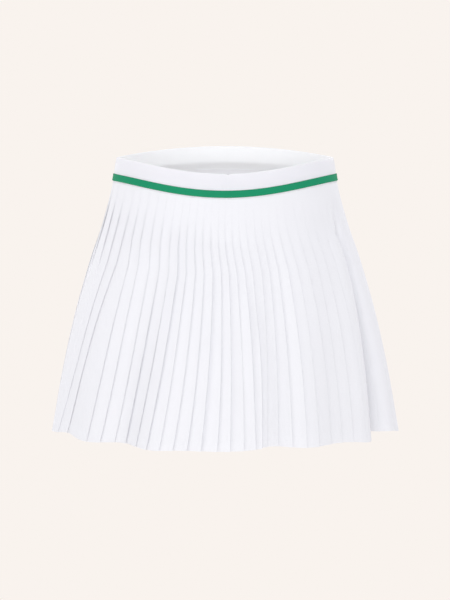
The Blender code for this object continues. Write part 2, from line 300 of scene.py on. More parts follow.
# %% [markdown]
# ## How a pleat is pressed
#
# A knife pleat is one zigzag: the cloth runs out over its face to a free edge, folds
# sharply back under itself, and folds forward again at a hidden inner edge. All of them
# turn the same way, so each free edge laps over the next pleat and throws the thin shadow
# that draws the skirt's lines. A cloth simulation could fold them, but its pleats would
# be a little different after every change. Here a table gives the zigzag's sizes from the
# waist seam, at share 0, to the hem, at share 1.

# %% Pressed sizes
PLEATS_PER_PANEL = 32
Pressing = namedtuple("Pressing", "share rise underlap stand wall")
PRESSING = (
    Pressing(share=0.00, rise=0.0008, underlap=0.0032, stand=0.0003, wall=0.00004),
    Pressing(share=0.10, rise=0.0013, underlap=0.0038, stand=0.0006, wall=0.00004),
    Pressing(share=0.18, rise=0.0016, underlap=0.0042, stand=0.0008, wall=0.00007),
    Pressing(share=0.30, rise=0.0020, underlap=0.0048, stand=0.0009, wall=0.00012),
    Pressing(share=0.45, rise=0.0023, underlap=0.0053, stand=0.0010, wall=0.00014),
    Pressing(share=1.00, rise=0.0024, underlap=0.0062, stand=0.0013, wall=0.00013),
)


def press(column, share):
    """A column of PRESSING at each level, as straight lines through the rows."""
    return np.interp(share, [row.share for row in PRESSING], [getattr(row, column) for row in PRESSING])


print(2 * PLEATS_PER_PANEL, "pleats, turned under by", press("underlap", 1.0), "m at the hem")

# %% [markdown]
# ## Where the pleats lie
#
# Pressing makes pleats nearly even, and wearing doesn't leave them so. They crowd at the
# centre of the waist, and three tables hold what single stretches do. In a spread they
# lie wider apart or, below zero, closer. In an ease they lie flatter or, below zero,
# stand higher, and are drawn out, so that less cloth turns under. Drawn past 1, a pleat
# is only a soft step. An open pleat's free edge lifts off the pleat it lies on. Places run
# from 0 to 1 along a panel, and each row starts at its own share of the drop. A spread
# that starts below zero is already open at the waist seam.

# %% Spreads, eases and open pleats
Spread = namedtuple("Spread", "panel place reach wider start")
SPREADS = (
    Spread(panel=0, place=0.050, reach=0.070, wider=0.50, start=-1.00),
    Spread(panel=0, place=0.040, reach=0.060, wider=-0.85, start=0.30),
    Spread(panel=0, place=0.140, reach=0.020, wider=1.80, start=0.20),
    Spread(panel=0, place=0.590, reach=0.040, wider=-0.60, start=0.20),
    Spread(panel=0, place=0.922, reach=0.018, wider=2.20, start=-0.40),
    Spread(panel=1, place=0.300, reach=0.080, wider=0.50, start=0.20),
    Spread(panel=1, place=0.660, reach=0.060, wider=-0.40, start=0.20),
)
Ease = namedtuple("Ease", "panel place reach flatter drawn start")
EASES = (
    Ease(panel=0, place=0.050, reach=0.060, flatter=0.80, drawn=1.30, start=0.10),
    Ease(panel=0, place=0.180, reach=0.160, flatter=0.50, drawn=0.00, start=0.00),
    Ease(panel=0, place=0.125, reach=0.020, flatter=0.35, drawn=0.45, start=0.40),
    Ease(panel=0, place=0.200, reach=0.050, flatter=-0.70, drawn=0.00, start=0.35),
    Ease(panel=0, place=0.297, reach=0.025, flatter=0.40, drawn=0.30, start=0.60),
    Ease(panel=0, place=0.500, reach=0.180, flatter=-0.25, drawn=0.00, start=0.10),
    Ease(panel=0, place=0.950, reach=0.040, flatter=0.40, drawn=0.30, start=0.15),
    Ease(panel=1, place=0.300, reach=0.080, flatter=0.40, drawn=0.00, start=0.20),
)
OpenPleat = namedtuple("OpenPleat", "panel pleat lift start")
OPEN_PLEATS = (
    OpenPleat(panel=0, pleat=4, lift=0.0002, start=0.02),
    OpenPleat(panel=0, pleat=8, lift=0.0008, start=0.30),
    OpenPleat(panel=0, pleat=10, lift=0.0012, start=0.06),
    OpenPleat(panel=0, pleat=14, lift=0.0008, start=0.12),
    OpenPleat(panel=0, pleat=18, lift=0.0026, start=0.30),
    OpenPleat(panel=0, pleat=19, lift=0.0030, start=0.40),
    OpenPleat(panel=0, pleat=23, lift=0.0007, start=0.30),
    OpenPleat(panel=0, pleat=29, lift=0.0040, start=0.00),
    OpenPleat(panel=1, pleat=6, lift=0.0014, start=0.20),
    OpenPleat(panel=1, pleat=13, lift=0.0012, start=0.30),
    OpenPleat(panel=1, pleat=21, lift=0.0016, start=0.10),
    OpenPleat(panel=1, pleat=27, lift=0.0012, start=0.20),
)
print(len(SPREADS), "spreads,", len(EASES), "eases,", len(OPEN_PLEATS), "open pleats")

# %% Places of the free edges
PITCH_SWAY = 0.10
SWAY_WAVES = (2.4, 1.1)
WAIST_CROWDING = 0.26
HEM_CROWDING = 0.06


def pleat_places(panel, share):
    """Free edges as shares of the panel's width at each level, one row a level.

    A pleat's own width sways by the sum of two sine waves. It is narrower towards the
    panel's middle by a cosine, which fades to the hem, and each spread widens it by a
    bell that grows down to the hem."""
    steps = np.arange(PLEATS_PER_PANEL)
    middle = (steps + 0.5)[None] / PLEATS_PER_PANEL
    level = np.atleast_1d(share)[:, None]
    sway = sum(np.sin(wave * steps + phase * panel) for phase, wave in enumerate(SWAY_WAVES, 1))
    crowding = WAIST_CROWDING + (HEM_CROWDING - WAIST_CROWDING) * level**2
    widths = (1 + PITCH_SWAY * sway / 2) * (1 + crowding * np.cos(2 * pi * middle))
    for row in SPREADS:
        if row.panel == panel:
            grown = np.clip((level - row.start) / (1 - row.start), 0, 1)
            widths = widths * (1 + row.wider * grown * np.exp(-(((middle - row.place) / row.reach) ** 2)))
    total = widths.sum(axis=1, keepdims=True)
    return np.concatenate([np.zeros_like(level), np.cumsum(widths, axis=1)], axis=1) / total


widths = np.diff(pleat_places(0, np.array([0.0, 1.0]))) * PLEATS_PER_PANEL
for where, row in zip(("waist seam", "hem"), widths):
    print("front pleats at the", where, "are", row.min().round(2), "to", row.max().round(2), "of the mean")

# %% [markdown]
# ## Folding the line of one level
#
# Right below the band the pleats are pressed so flat that hardly an edge shows, a little
# further down at one end of each panel than at the other, and then they open. So each
# size fades in from a flat one. Below that a slow drift moves it, because no two pleats
# hang alike. A drift is the mean of a few sine waves down the pleat, whose phases and
# speeds are drawn by chance but from fixed seeds, so that each run draws the same ones.

# %% Smooth steps and drifts
DRIFT_SPEEDS = (1.5, 7.0)


def smooth_step(x):
    """0 below 0, 1 above 1, and 3 x squared less 2 x cubed between."""
    x = np.clip(x, 0, 1)
    return x * x * (3 - 2 * x)


def drift(share, panel, seed, waves=3):
    """A smooth number from -1 to 1 for each level and pleat: the mean of some sine waves
    down the pleat, each with a random phase and speed of its own."""
    draw = np.random.default_rng(100 * seed + panel)
    phase = draw.uniform(0, 2 * pi, (waves, PLEATS_PER_PANEL + 1))
    speed = draw.uniform(*DRIFT_SPEEDS, (waves, PLEATS_PER_PANEL + 1))
    return np.sin(speed[:, None] * share[None, :, None] + phase[:, None]).mean(axis=0)


print("a smooth step passes", [round(float(smooth_step(x)), 2) for x in (0.25, 0.5, 0.75)])

# %% How high a pleat stands and how far it turns under
FLAT_TO = (0.03, 0.17)
OPENING_LENGTH = 0.11
FLAT_RISE = 0.00014
FLAT_UNDERLAP = 0.0006
EASE_LENGTH = 0.30
LIFT_LENGTH = 0.25
LIFT_ROOM = 0.7
RISE_DRIFT = 0.35
UNDERLAP_DRIFT = 0.20
FLOAT_OUT = 0.0012


def eased_sizes(panel, share):
    """The pressed rise at each level and pleat, and the share of the turn-under that is
    left: both are taken down by each ease's bell."""
    level = share[:, None]
    order = np.arange(PLEATS_PER_PANEL + 1)[None] / PLEATS_PER_PANEL
    left = np.ones((len(share), PLEATS_PER_PANEL + 1))
    rise = press("rise", share)[:, None] * left
    for row in EASES:
        if row.panel == panel:
            grown = np.clip((level - row.start) / EASE_LENGTH, 0, 1)
            eased = grown * np.exp(-(((order - row.place) / row.reach) ** 2))
            rise *= 1 - row.flatter * eased
            left *= 1 - row.drawn * eased
    return rise, left


def pleat_sizes(panel, share, places, pitch, loose):
    """Rise of each pleat, its turn-under, the lift of its free edge and how far all of it
    stands off the round.

    A lifted face takes up at most LIFT_ROOM of the height below the free edge before it,
    so that it passes under that edge without touching."""
    level = share[:, None]
    pressed_to = FLAT_TO[0] + (FLAT_TO[1] - FLAT_TO[0]) * places
    opened = smooth_step((level - pressed_to) / OPENING_LENGTH)
    rise, left = eased_sizes(panel, share)
    rise = FLAT_RISE + (rise - FLAT_RISE) * opened
    underlap = press("underlap", share)[:, None]
    underlap = underlap * (1 + UNDERLAP_DRIFT * level * loose * drift(share, panel, 3))
    underlap = FLAT_UNDERLAP + (underlap * left - FLAT_UNDERLAP) * opened
    lift = rise * RISE_DRIFT * level * loose * drift(share, panel, 2)
    for row in OPEN_PLEATS:
        if row.panel == panel:
            grown = smooth_step((share - row.start) / LIFT_LENGTH)
            lift[:, row.pleat] += row.lift * grown * opened[:, row.pleat]
    highest = rise * (LIFT_ROOM * (1 + pitch / np.maximum(underlap, FLAT_UNDERLAP)) - 1)
    lift = np.minimum(lift, highest)
    stand = press("stand", share)[:, None] + FLOAT_OUT * level * loose * drift(share, panel, 4)
    return rise, underlap, lift, stand


print("pressed flat to", FLAT_TO, "of the drop, open", OPENING_LENGTH, "further down")

# %% Room at the folds
FOLD_CLEARANCE = 1.05


def slope(leg):
    """Angle of a leg of the folded line against the round, in radians."""
    return np.arctan2(np.abs(leg[..., 1]), np.abs(leg[..., 0]))


def room(half_wall, opening):
    """How far from a fold its two legs are a whole wall apart: half the wall over the
    tangent of half the opening, and a little more."""
    return FOLD_CLEARANCE * half_wall / np.tan(opening / 2)


print("a 0.13 mm wall folded to 30 degrees needs", room(0.000065, radians(30)).round(5), "m")

# %% The folded line of a panel
FACE_STEPS = np.array([0.0, 0.12, 0.30, 0.50, 0.70, 0.88, 1.0])
UNDER_STEPS = np.array([0.0, 1.0])
UNDER_HALF = 0.48
FACE_HOLLOW = 0.13
WANDER = 0.05
PANEL_GAP = 0.0004


def folded_line(start, width, share, panel, wall):
    """Each level's zigzag, in (distance round, distance out), with every pleat's points
    in the order: inner fold, face, free edge, underlay.

    A face is the straight line from inner fold to free edge, hollowed by a half sine.
    Its points keep as far from both folds as the wall needs to turn there. A panel's
    side edges stay put, so what is loose fades to them by the root of a sine."""
    pitch = (width / PLEATS_PER_PANEL)[:, None]
    places = pleat_places(panel, share)
    loose = np.sin(pi * places.clip(0, 1)).clip(0, 1) ** 0.5
    wander = WANDER * pitch * share[:, None] * loose * drift(share, panel, 1)
    edge = start[:, None] + width[:, None] * places + wander
    rise, underlap, lift, stand = pleat_sizes(panel, share, places, pitch, loose)
    free = np.stack([edge, rise / 2 + lift + stand], axis=-1)
    inner = np.stack([edge - underlap, stand - rise / 2], axis=-1)

    fold, tip, under = inner[:, :-1], free[:, 1:], inner[:, 1:]
    face, underlay = tip - fold, under - tip
    hollow = FACE_HOLLOW * rise[:, 1:, None]
    bend = pi * hollow * (0, 1)
    half = wall[:, None] / 2
    at_tip = room(half, slope(underlay) - slope(face + bend))
    before = slope(np.concatenate([underlay[:, :1], underlay[:, :-1]], axis=1))
    at_fold = room(half, before - slope(face - bend))
    at_fold[:, 0] += PANEL_GAP / np.sin(before - slope(face))[:, 0]
    at_next = np.concatenate([at_fold[:, 1:], at_fold[:, -1:]], axis=1)
    along, back = np.hypot(*np.moveaxis(face, -1, 0)), np.hypot(*np.moveaxis(underlay, -1, 0))
    first, last = at_fold / along, 1 - at_tip / along
    t = (first[..., None] + (last - first)[..., None] * FACE_STEPS)[..., None]
    face_points = fold[:, :, None] + face[:, :, None] * t
    face_points[..., 1:] -= hollow[:, :, None] * np.sin(pi * t)
    first, last = np.minimum(at_tip / back, UNDER_HALF), np.maximum(1 - at_next / back, 1 - UNDER_HALF)
    u = (first[..., None] + (last - first)[..., None] * UNDER_STEPS)[..., None]
    under_points = tip[:, :, None] + underlay[:, :, None] * u
    line = np.concatenate([fold[:, :, None], face_points, tip[:, :, None], under_points], axis=2)
    line = np.concatenate([line.reshape(len(share), -1, 2), inner[:, -1:]], axis=1)
    return line[:, 1:]


points_a_pleat = len(FACE_STEPS) + len(UNDER_STEPS) + 2
print(points_a_pleat, "points across each pleat")

# %% [markdown]
# ## Giving the folded line a wall
#
# Cloth keeps its thickness through a fold. On the outside of the fold the wall's face
# goes round in a small arc, and on the inside it meets itself at one point, as mitred
# tape does. The arc is what a pressed edge shows from close up: a soft, bright line.

# %% Both faces of the wall
FOLD_ARC = 5
PLAIN, INNER_FOLD, FREE_EDGE = 0, 1, 2


def kinds_of_points():
    """What each point of the folded line is. The line starts on the first face, past its
    inner fold, and ends in the last inner fold."""
    pleat = [INNER_FOLD, *[PLAIN] * len(FACE_STEPS), FREE_EDGE, *[PLAIN] * len(UNDER_STEPS)]
    return np.array((pleat * PLEATS_PER_PANEL)[1:] + [PLAIN])


def wall_faces(line, wall):
    """The outer and inner face of a wall that follows each level's line, and for each
    column of both whether it is a new point.

    The wall's normal at a fold sweeps from the leg before to the leg after. On the
    hollow side all of the sweep is one point, at the mitre: half the wall over the
    cosine of half the turn."""
    kind = kinds_of_points()
    copies = np.where(kind == PLAIN, 1, FOLD_ARC)
    which = np.repeat(np.arange(len(kind)), copies)
    step = np.arange(len(which)) - np.repeat(np.cumsum(copies) - copies, copies)
    part = np.where(copies[which] > 1, step / (FOLD_ARC - 1), 0.5)
    legs = np.diff(line, axis=1)
    normal = np.arctan2(legs[..., 0], -legs[..., 1])
    before = np.concatenate([normal[:, :1], normal], axis=1)[:, which]
    after = np.concatenate([normal, normal[:, -1:]], axis=1)[:, which]
    turn = (after - before + pi) % (2 * pi) - pi
    mitre = 1 / np.cos(turn / 2)
    faces = []
    for side, rounded in ((+1, FREE_EDGE), (-1, INNER_FOLD)):
        sweep = kind[which] == rounded
        angle = before + turn * np.where(sweep, part, 0.5)
        reach = side * wall / 2 * np.where(sweep, 1.0, mitre)
        towards = np.stack([np.cos(angle), np.sin(angle)], axis=-1)
        faces.append(line[:, which] + towards * reach[..., None])
    outer_new = ~((kind[which] == INNER_FOLD) & (step > 0))
    inner_new = ~((kind[which] == FREE_EDGE) & (step > 0))
    return faces[0], faces[1], outer_new, inner_new, which


print("folds turn in", FOLD_ARC, "points")

# %% [markdown]
# ## The pleated front and back
#
# Each panel is one width of cloth from side seam to side seam. Its levels are close
# together near the hem, where the last centimetre is turned up and double, so the wall
# is thicker there. The whole panel hangs a few degrees turned against the waist, because
# pleats that all point one way drift that way.

# %% Levels of the hanging cloth
HANGING = SKIRT_DROP - BAND_HEIGHT
BAND_TUCK = 0.0010
HEM_TURN_UP = 0.0110
HEM_ROUND = 0.0008
OPEN_LEVELS = 62
HEM_LEVELS = 5
hem_start = 1 - HEM_TURN_UP / HANGING
SHARES = np.concatenate(
    [
        np.linspace(0, hem_start - HEM_ROUND / HANGING, OPEN_LEVELS),
        np.linspace(hem_start, 1 - HEM_ROUND / HANGING, HEM_LEVELS),
        [1.0],
    ]
)


def heights(bearing, share):
    """Height of cloth at each level: from the waist seam to the hem in proportion to its
    share, with the hem raised by its folds."""
    top = waistline(bearing) - BAND_HEIGHT + BAND_TUCK
    lift = sum(fold.lift * bump for fold, bump in fold_bumps(bearing, 1.0))
    return top + (HEM_Z + lift - top) * share


print(len(SHARES), "levels of cloth over", HANGING, "m")


# %% Make the pleated panels
FRONT, BACK = 0, 1
SIDE_BEARINGS = {FRONT: (-90.0, 90.0), BACK: (90.0, -90.0)}
PLEAT_LEAN = -5.0


def run_along(line):
    """Length of cloth from the line's start to each of its points."""
    steps = np.hypot(*np.moveaxis(np.diff(line, axis=1), -1, 0))
    return np.concatenate([np.zeros_like(steps[:, :1]), np.cumsum(steps, axis=1)], axis=1)


def pleated_panel(name, panel):
    """A folded line carried down the skirt's rounds, with a wall that is double in the
    turned hem. Its UV map is in metres: along the cloth, and up from the hem. The flat
    area is the sum over the levels of the folded line's length times the drop between."""
    level = rounds(BAND_HEIGHT + HANGING * SHARES, SHARES)
    left, right = SIDE_BEARINGS[panel]
    start, width = span(level, left + PLEAT_LEAN * SHARES, right + PLEAT_LEAN * SHARES)
    cloth = press("wall", SHARES)
    wall = np.where(SHARES >= hem_start, 2 * cloth, cloth)
    wall[-1] = cloth[-1]
    line = folded_line(start, width, SHARES, panel, wall)
    outer, inner, outer_new, inner_new, which = wall_faces(line, wall[:, None])
    grids, above = [], []
    for face in (outer, inner):
        x, y, bearing = place(level, face[..., 0], face[..., 1])
        z = heights(bearing, SHARES[:, None])
        grids.append(np.stack([x, y, z], axis=-1))
        above.append(z - z[-1:])
    run = run_along(line)
    along = (run - run[:, -1:] / 2)[:, which]
    uv = [np.stack([along, up], axis=-1) for up in above]
    made = shell(name, *grids, *uv, outer_new, inner_new)
    flat_area = float(np.sum((run[1:, -1] + run[:-1, -1]) / 2 * np.diff(SHARES)) * HANGING)
    print(name, "lies flat", run[0, -1].round(3), "to", run[-1, -1].round(3), "m wide")
    print(name, "has", round(flat_area, 3), "m2 of cloth")
    return made, grids[0], which, flat_area, float(run[:, -1].max())


pleated_front, front_face, columns_of, front_area, front_width = pleated_panel("pleated_front", FRONT)
pleated_back, back_face, _, back_area, back_width = pleated_panel("pleated_back", BACK)

# %% [markdown]
# ## The waistband
#
# The band is two layers of firm knit round a wide elastic, turned over at the top. A box
# section would look like plastic, so its profile is drawn level by level: a round turned
# edge, a faint pillow where the elastic lies, and a flat foot where the layers are sewn
# to the pleats. The profile is carried round half the waist. At the centre front the
# band's ends are lapped over each other, which shows as a narrow raised strip with a
# small nick in the top edge.

# %% Sizes of the band
BAND_WALL = 0.0020
BAND_COLUMNS = 240
RIM_TURNS = (8, 25, 45, 65, 90)
FLAT_FROM = 0.0022
FLAT_LEVELS = 24
FOOT_HEIGHT = 0.0012
FOOT_ROUND = 0.6
FOOT_TURNS = (20, 50, 90)
FOOT_NARROWS = (0.95, 0.80, 0.55)
PILLOW = 0.0005
PILLOW_END = STRIPE_TOP + 0.001
INNER_PILLOW = 0.4
PUCKER = 0.00012
PUCKER_PITCH = 0.0065
PUCKER_REACH = 0.003
SEAM_GAP = 0.00015
LAP_WIDTH = 0.0070
LAP_RAISE = 0.00045
LAP_SOFT = 0.0006
Nick = namedtuple("Nick", "place half_width depth fades_over")
NICK = Nick(place=0.0035, half_width=0.0015, depth=0.0021, fades_over=0.006)


def band_profile():
    """Drop, outer and inner distance out for each level: a quarter circle over the top
    edge, a long flat with a pillow of a sine squared, and a small round foot."""
    half = BAND_WALL / 2
    turn = np.radians(RIM_TURNS)
    top = half * (1 - np.cos(turn))
    flat = np.linspace(FLAT_FROM, BAND_HEIGHT - FOOT_HEIGHT, FLAT_LEVELS)
    foot = BAND_HEIGHT - half * FOOT_ROUND * (1 - np.sin(np.radians(FOOT_TURNS)))
    drop = np.concatenate([top, flat, foot])
    out = np.concatenate([half * np.sin(turn), np.full(FLAT_LEVELS, half), half * np.array(FOOT_NARROWS)])
    pillow = PILLOW * np.sin(pi * np.clip(drop / PILLOW_END, 0, 1)) ** 2
    return drop, out + pillow, -out - pillow * INNER_PILLOW


print("band profile of", len(band_profile()[0]), "levels")


# %% Make the band
def lap(distance, width):
    """0 to 1 over the lapped strip at the centre front, with soft sides."""
    away = np.abs(distance - width / 2)
    return 1 - smooth_step((away - LAP_WIDTH / 2) / LAP_SOFT)


def band_grid(panel, drop, outer_out, inner_out):
    """Both faces of a strip that runs round half the waist, and their UV maps.

    Each face stands off its round by its profile, by a sine wave of puckers that fades
    away from the seam, and by the lap. The nick is a bell cut down from the top edge."""
    level = rounds(drop, np.zeros_like(drop))
    left, right = SIDE_BEARINGS[panel]
    start, width = span(level, np.full_like(drop, left), np.full_like(drop, right))
    sewn = np.linspace(SEAM_GAP, width - SEAM_GAP, BAND_COLUMNS + 1, axis=1)
    from_middle = sewn - width[:, None] / 2
    pucker = PUCKER * np.sin(2 * pi * sewn / PUCKER_PITCH)
    pucker *= np.exp(-(((drop[:, None] - BAND_HEIGHT) / PUCKER_REACH) ** 2))
    lapped = lap(sewn, width[:, None]) if panel == FRONT else np.zeros_like(sewn)
    grids, maps = [], []
    for out, raised in ((outer_out, LAP_RAISE), (inner_out, 0.0)):
        x, y, bearing = place(level, start[:, None] + sewn, out[:, None] + pucker + raised * lapped)
        z = waistline(bearing) - drop[:, None]
        if panel == FRONT:
            nick = np.exp(-(((from_middle - NICK.place) / NICK.half_width) ** 2))
            z -= NICK.depth * nick * np.clip(1 - drop[:, None] / NICK.fades_over, 0, 1)
        grids.append(np.stack([x, y, z], axis=-1))
        maps.append(np.stack([from_middle, np.broadcast_to(drop[:, None], sewn.shape)], axis=-1))
    return grids, maps, width


def waistband(name, panel):
    """Half of the band, with its longest width, its area and the number of faces that
    each of its two sides has."""
    grids, maps, width = band_grid(panel, *band_profile())
    made = shell(name, *grids, *maps)
    print(name, "is", width.round(3)[[0, -1]], "m along its top edge and its seam")
    return made, float(width.max()), float(width.mean()) * BAND_HEIGHT, grids[0][1:, 1:, 0].size


band_front, band_front_width, band_front_area, band_side_faces = waistband("band_front", FRONT)
band_back, band_back_width, band_back_area, _ = waistband("band_back", BACK)

# %% [markdown]
# ## The green tape
#
# A ribbed tape, 8.5 mm wide, is sewn flat on the band with a row of stitches along each
# edge. It lies on the band's own points moved out, so it follows the lap and the puckers
# under it. Its edges are rounded and a hair thicker, as woven selvedges are.

# %% Make the tape
TAPE_LIFT = 0.00005
TAPE_WALL = 0.00095
TAPE_EDGE = 0.0002
TAPE_ROUND = 0.0004
TAPE_INSETS = np.array([0.0, 0.00012, 0.0004, 0.0009, 0.0016, 0.0026])
TAPE_FLAT_FROM = 0.0038
TAPE_FLAT_LEVELS = 4
SELVEDGE = 0.00018
SELVEDGE_PLACE = 0.0007
SELVEDGE_REACH = 0.0005


def tape(name, panel):
    """The tape's profile: flat, raised near both edges by a narrow bell, and closed at
    each edge by a quarter circle."""
    middle = np.linspace(TAPE_FLAT_FROM, STRIPE_HEIGHT - TAPE_FLAT_FROM, TAPE_FLAT_LEVELS)
    depth = np.concatenate([TAPE_INSETS, middle, STRIPE_HEIGHT - TAPE_INSETS[::-1]])
    edge = np.minimum(depth, STRIPE_HEIGHT - depth)
    round_off = np.sqrt(1 - (1 - np.clip(edge / TAPE_ROUND, 0, 1)) ** 2)
    base = BAND_WALL / 2 + TAPE_LIFT
    raised = SELVEDGE * np.exp(-(((edge - SELVEDGE_PLACE) / SELVEDGE_REACH) ** 2))
    outer = base + TAPE_EDGE + (TAPE_WALL - TAPE_EDGE) * round_off + raised
    grids, maps, width = band_grid(panel, STRIPE_TOP + depth, outer, np.full_like(depth, base))
    print(name, "is", round(float(width.mean()), 3), "m long")
    return shell(name, *grids, *maps)


tape_front = tape("tape_front", FRONT)
tape_back = tape("tape_back", BACK)

# %% [markdown]
# ## Stitches
#
# A machine stitch is a short length of thread that rises out of the cloth, runs along it
# and dives in again. Bump alone could draw a row of dashes, but it would vanish from the
# side, so each stitch is a tiny bent bead of thread of about two dozen faces. A row is
# placed by arrays of centres, directions along the row and directions out of the cloth.

# %% Stitch maker
STITCH_PITCH = 0.0030
STITCH_LENGTH = 0.0023
THREAD_RADIUS = 0.00020
STITCH_TAPER = 0.8
STITCH_SINK = 1.6
STITCH_STATIONS = np.linspace(-1, 1, 5)
STITCH_SIDES = 6


def stitch_mesh(centre, along, out):
    """Points and faces of many stitches: rings round a short arc that sinks by the square
    of its distance from the middle, thin at both ends."""
    across = np.cross(along, out)
    turn = np.arange(STITCH_SIDES) * 2 * pi / STITCH_SIDES
    thick = THREAD_RADIUS * np.sqrt(1 - STITCH_TAPER * STITCH_STATIONS**2)
    sink = -STITCH_SINK * THREAD_RADIUS * STITCH_STATIONS**2
    around = np.cos(turn)[None, None, :, None], np.sin(turn)[None, None, :, None]
    ring = across[:, None, None] * around[0] + out[:, None, None] * around[1]
    run = (STITCH_STATIONS * STITCH_LENGTH / 2)[None, :, None]
    spine = along[:, None] * run + out[:, None] * sink[None, :, None]
    points = centre[:, None, None] + spine[:, :, None] + ring * thick[None, :, None, None]
    stations, sides = len(STITCH_STATIONS), STITCH_SIDES
    ids = np.arange(len(centre) * stations * sides).reshape(len(centre), stations, sides)
    nxt = np.roll(ids, -1, axis=2)
    walls = np.stack([ids[:, :-1], nxt[:, :-1], nxt[:, 1:], ids[:, 1:]], axis=-1).reshape(-1, 4)
    ends = np.concatenate([ids[:, 0, ::-1], ids[:, -1]])
    return points.reshape(-1, 3), walls.tolist() + ends.tolist()


def unit(vectors):
    """Vectors over their own lengths."""
    return vectors / np.linalg.norm(vectors, axis=-1, keepdims=True)


def rows_of_stitches(name, rows):
    """One object of several rows, each (centres, directions along, directions out)."""
    centre, along, out = (np.concatenate(part) for part in zip(*rows))
    points, faces = stitch_mesh(centre, unit(along), unit(out))
    print(name, len(centre), "stitches")
    return mesh_object(name, points, faces)


print("a stitch every", STITCH_PITCH, "m")

# %% Rows along the tape
PROBE_DOWN = 0.002
PROBE_ALONG = 1e-4
TAPE_ROW_INSET = 0.0014


def band_row(panel, drop, out):
    """A row of stitches round half the waist at one drop, this far out of the band. The
    directions come from points a little before, after and below each stitch."""
    drops = np.array([drop, drop + PROBE_DOWN])
    level = rounds(drops, np.zeros(2))
    left, right = SIDE_BEARINGS[panel]
    start, width = span(level, np.full(2, left), np.full(2, right))
    sewn = np.arange(STITCH_PITCH, width[0] - STITCH_PITCH / 2, STITCH_PITCH)[None]
    lapped = lap(sewn, width[0]) if panel == FRONT else 0.0
    stands = out + LAP_RAISE * lapped + np.zeros((2, 1))
    ends = []
    for shift in (-PROBE_ALONG, PROBE_ALONG):
        x, y, bearing = place(level, start[:, None] + sewn + shift, stands)
        ends.append(np.stack([x, y, waistline(bearing) - drops[:, None]], axis=-1))
    along = ends[1][0] - ends[0][0]
    down = ends[0][1] - ends[0][0]
    return (ends[0][0] + ends[1][0]) / 2, along, np.cross(down, along)


tape_out = BAND_WALL / 2 + TAPE_WALL + TAPE_LIFT
tape_drops = (STRIPE_TOP + TAPE_ROW_INSET, STRIPE_TOP + STRIPE_HEIGHT - TAPE_ROW_INSET)
print("tape rows lie", np.round(tape_drops, 4), "m below the top edge")

# %% Rows along the hem
HEM_STITCHES_A_FACE = 5
HEM_ROW_MARGIN = 0.35
LEVELS_ABOVE = 3


def hem_row(face, which):
    """Stitches across every pleat's face, on the line where the hem is turned up. Each is
    set in proportion between the two points of the face beside it."""
    level = int(np.argmax(SHARES >= hem_start)) + 1
    part = (which + 1) % points_a_pleat
    on_face = (part >= 1) & (part <= len(FACE_STEPS))
    row, above = (
        face[at_level, on_face].reshape(PLEATS_PER_PANEL, len(FACE_STEPS), 3)
        for at_level in (level, level - LEVELS_ABOVE)
    )
    at = np.linspace(HEM_ROW_MARGIN, len(FACE_STEPS) - 1 - HEM_ROW_MARGIN, HEM_STITCHES_A_FACE)
    low = at.astype(int)
    mix = (at - low)[None, :, None]
    centre = row[:, low] * (1 - mix) + row[:, low + 1] * mix
    along = row[:, low + 1] - row[:, low]
    down = row[:, low] - above[:, low]
    return tuple(vectors.reshape(-1, 3) for vectors in (centre, along, np.cross(down, along)))


sewing = {
    "tape_stitches_front": [band_row(FRONT, drop, tape_out) for drop in tape_drops],
    "tape_stitches_back": [band_row(BACK, drop, tape_out) for drop in tape_drops],
    "hem_stitches_front": [hem_row(front_face, columns_of)],
    "hem_stitches_back": [hem_row(back_face, columns_of)],
}
stitched = {name: rows_of_stitches(name, rows) for name, rows in sewing.items()}

# %% [markdown]
# ## Finishes
#
# Three fabrics meet here. The pleats are a thin plain weave, the band a matt double knit
# and the tape a ribbed weave. Each pattern is worked out from the piece's own UV map,
# which is in metres of cloth, so the threads follow every fold at their true size. Image
# textures would need many megabytes for the same closeness.

# %% Node helpers
THREAD_DEPTH = 0.0001


def add(tree, kind, inputs=(), **settings):
    """A new node. An input that is a socket is linked, and any other is set."""
    made = tree.nodes.new(kind)
    for key, value in settings.items():
        setattr(made, key, value)
    for key, value in dict(inputs).items():
        if isinstance(value, bpy.types.NodeSocket):
            tree.links.new(value, made.inputs[key])
        else:
            made.inputs[key].default_value = value
    return made


def maths(tree, operation, *values):
    """The result of one Math node."""
    return add(tree, "ShaderNodeMath", dict(enumerate(values)), operation=operation).outputs[0]


def threads(tree, distance, pitch):
    """A sine wave across one set of threads, -1 to 1."""
    return maths(tree, "SINE", maths(tree, "MULTIPLY", distance, 2 * pi / pitch))


def fade(tree, value, low, high, most):
    """The most where the value is low, 0 where it is high, in proportion between."""
    ends = {"Value": value, "From Min": low, "From Max": high, "To Min": most, "To Max": 0.0}
    return add(tree, "ShaderNodeMapRange", ends).outputs["Result"]


def color_and_bump(tree, color, dark_share, darker, relief, bump):
    """The Principled shader, with its colour mixed towards a darker share of itself, and
    its normal bumped by the relief."""
    shader = tree.nodes["Principled BSDF"]
    dark = tuple(c * dark_share for c in color) + (1.0,)
    mixed = add(tree, "ShaderNodeMix", {"Factor": darker, "A": (*color, 1.0), "B": dark}, data_type="RGBA")
    bumped = add(tree, "ShaderNodeBump", {"Height": relief, "Strength": bump, "Distance": THREAD_DEPTH})
    tree.links.new(mixed.outputs["Result"], shader.inputs["Base Color"])
    tree.links.new(bumped.outputs["Normal"], shader.inputs["Normal"])
    return shader


print("threads are", THREAD_DEPTH, "m deep")

# %% Fabric maker
MOTTLE_SCALE = 22.0
MOTTLE_DETAIL = 3.0
MOTTLE_RANGE = (0.3, 0.7)
HOLLOW_SHADE = 0.06
FABRIC_DARK = 0.55


